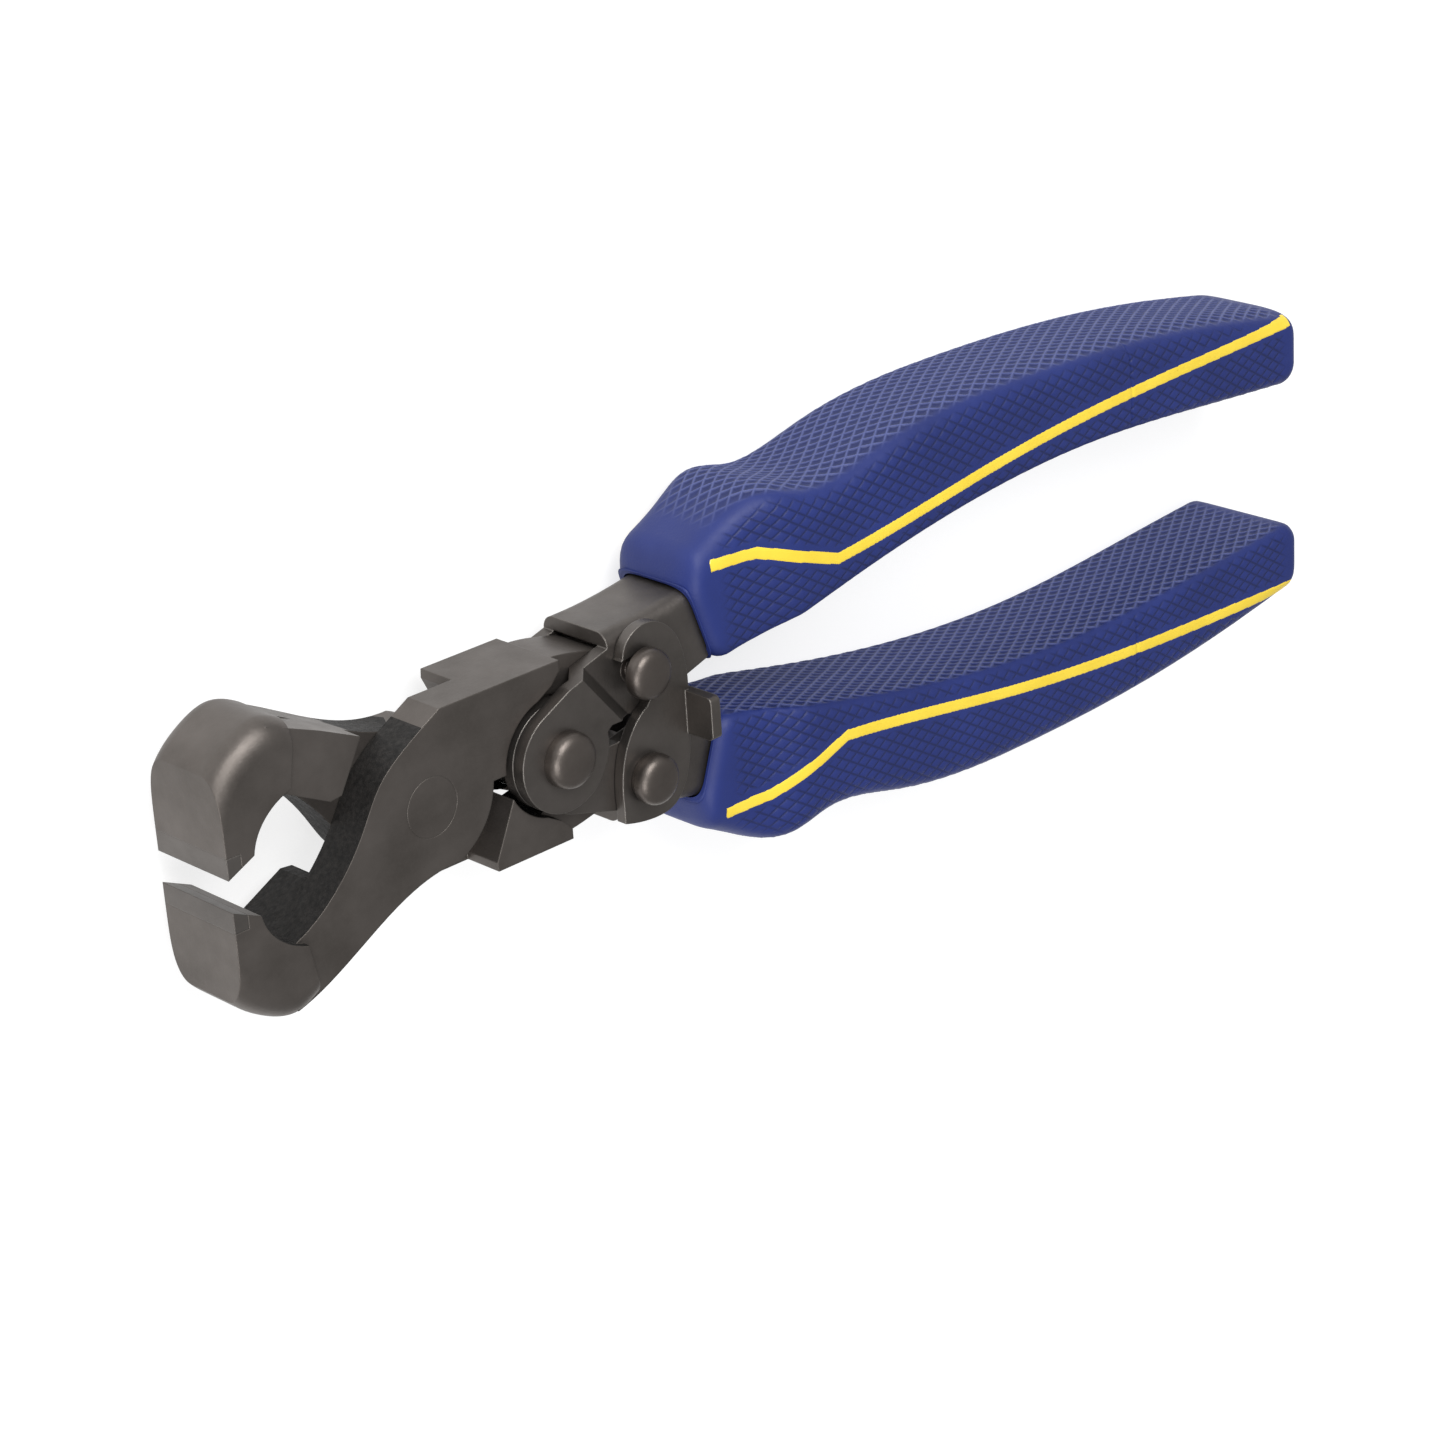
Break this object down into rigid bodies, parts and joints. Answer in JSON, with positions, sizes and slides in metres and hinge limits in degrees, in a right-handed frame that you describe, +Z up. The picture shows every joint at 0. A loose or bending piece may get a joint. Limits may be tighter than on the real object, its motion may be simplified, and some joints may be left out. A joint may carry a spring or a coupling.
{
  "type": "tile nippers",
  "caption": "Compound-action hand nippers with wide carbide-tipped jaws, riveted channel handles, moulded grips and a hook latch, for nibbling ceramic tile.",
  "frame": {"origin": "on the surface that the grips lie on, under the middle of the tool's length and width", "axes": "+X from the jaws to the handle ends, +Y across the tool to the upper handle, +Z up through the latch side"},
  "size_m": [0.1994, 0.0564, 0.0226],
  "materials": {
    "forged_steel": "blackened forging, ground satin faces",
    "stamped_steel": "blackened satin sheet",
    "rivet_steel": "blackened, domed heads",
    "spring_steel": "oiled spring wire",
    "carbide": "ground carbide",
    "grip_blue": "textured soft moulding",
    "stripe_yellow": "smooth moulded inlay"
  },
  "bodies": {
    "upper_handle": {"upper_handle_channel": "stamped_steel", "upper_grip": "grip_blue", "upper_front_stripe": "stripe_yellow", "upper_back_stripe": "stripe_yellow", "handle_pivot_rivet": "rivet_steel", "pivot_sleeve": "rivet_steel", "torsion_spring": "spring_steel", "upper_link_rivet": "rivet_steel"},
    "lower_handle": {"lower_handle_channel": "stamped_steel", "lower_grip": "grip_blue", "lower_front_stripe": "stripe_yellow", "lower_back_stripe": "stripe_yellow", "lower_link_rivet": "rivet_steel", "latch_washer": "rivet_steel"},
    "latch": {"latch_plate": "stamped_steel"},
    "lower_jaw": {"lower_jaw": "forged_steel", "lower_carbide_tip": "carbide", "jaw_pivot_rivet": "forged_steel"},
    "upper_jaw": {"upper_jaw": "forged_steel", "upper_carbide_tip": "carbide"}
  },
  "joints": [
    {"name": "handles_open", "type": "hinge", "parent": "upper_handle", "child": "lower_handle", "pos_m": [-0.04715, 0, 0.01], "axis": [0, 0, -1], "range_deg": [-3, 18], "deforming": ["torsion_spring"]},
    {"name": "lower_jaw_swing", "type": "hinge", "parent": "upper_handle", "child": "lower_jaw", "pos_m": [-0.0333, 0.0074, 0.01], "axis": [0, 0, -1], "range_deg": [-1, 6]},
    {"name": "upper_jaw_swing", "type": "hinge", "parent": "lower_handle", "child": "upper_jaw", "pos_m": [-0.0333, -0.0074, 0.01], "axis": [0, 0, 1], "range_deg": [-1, 6]},
    {"name": "latch_release", "type": "hinge", "parent": "lower_handle", "child": "latch", "pos_m": [-0.0333, -0.0074, 0.01], "axis": [0, 0, -1], "range_deg": [-6, 33]}
  ],
  "couplings": [
    {"joint": "lower_jaw_swing", "follows": "handles_open", "ratio": 0.306},
    {"joint": "upper_jaw_swing", "follows": "handles_open", "ratio": 0.306},
    {"joint": "latch_release", "follows": "handles_open", "ratio": 1.8}
  ]
}
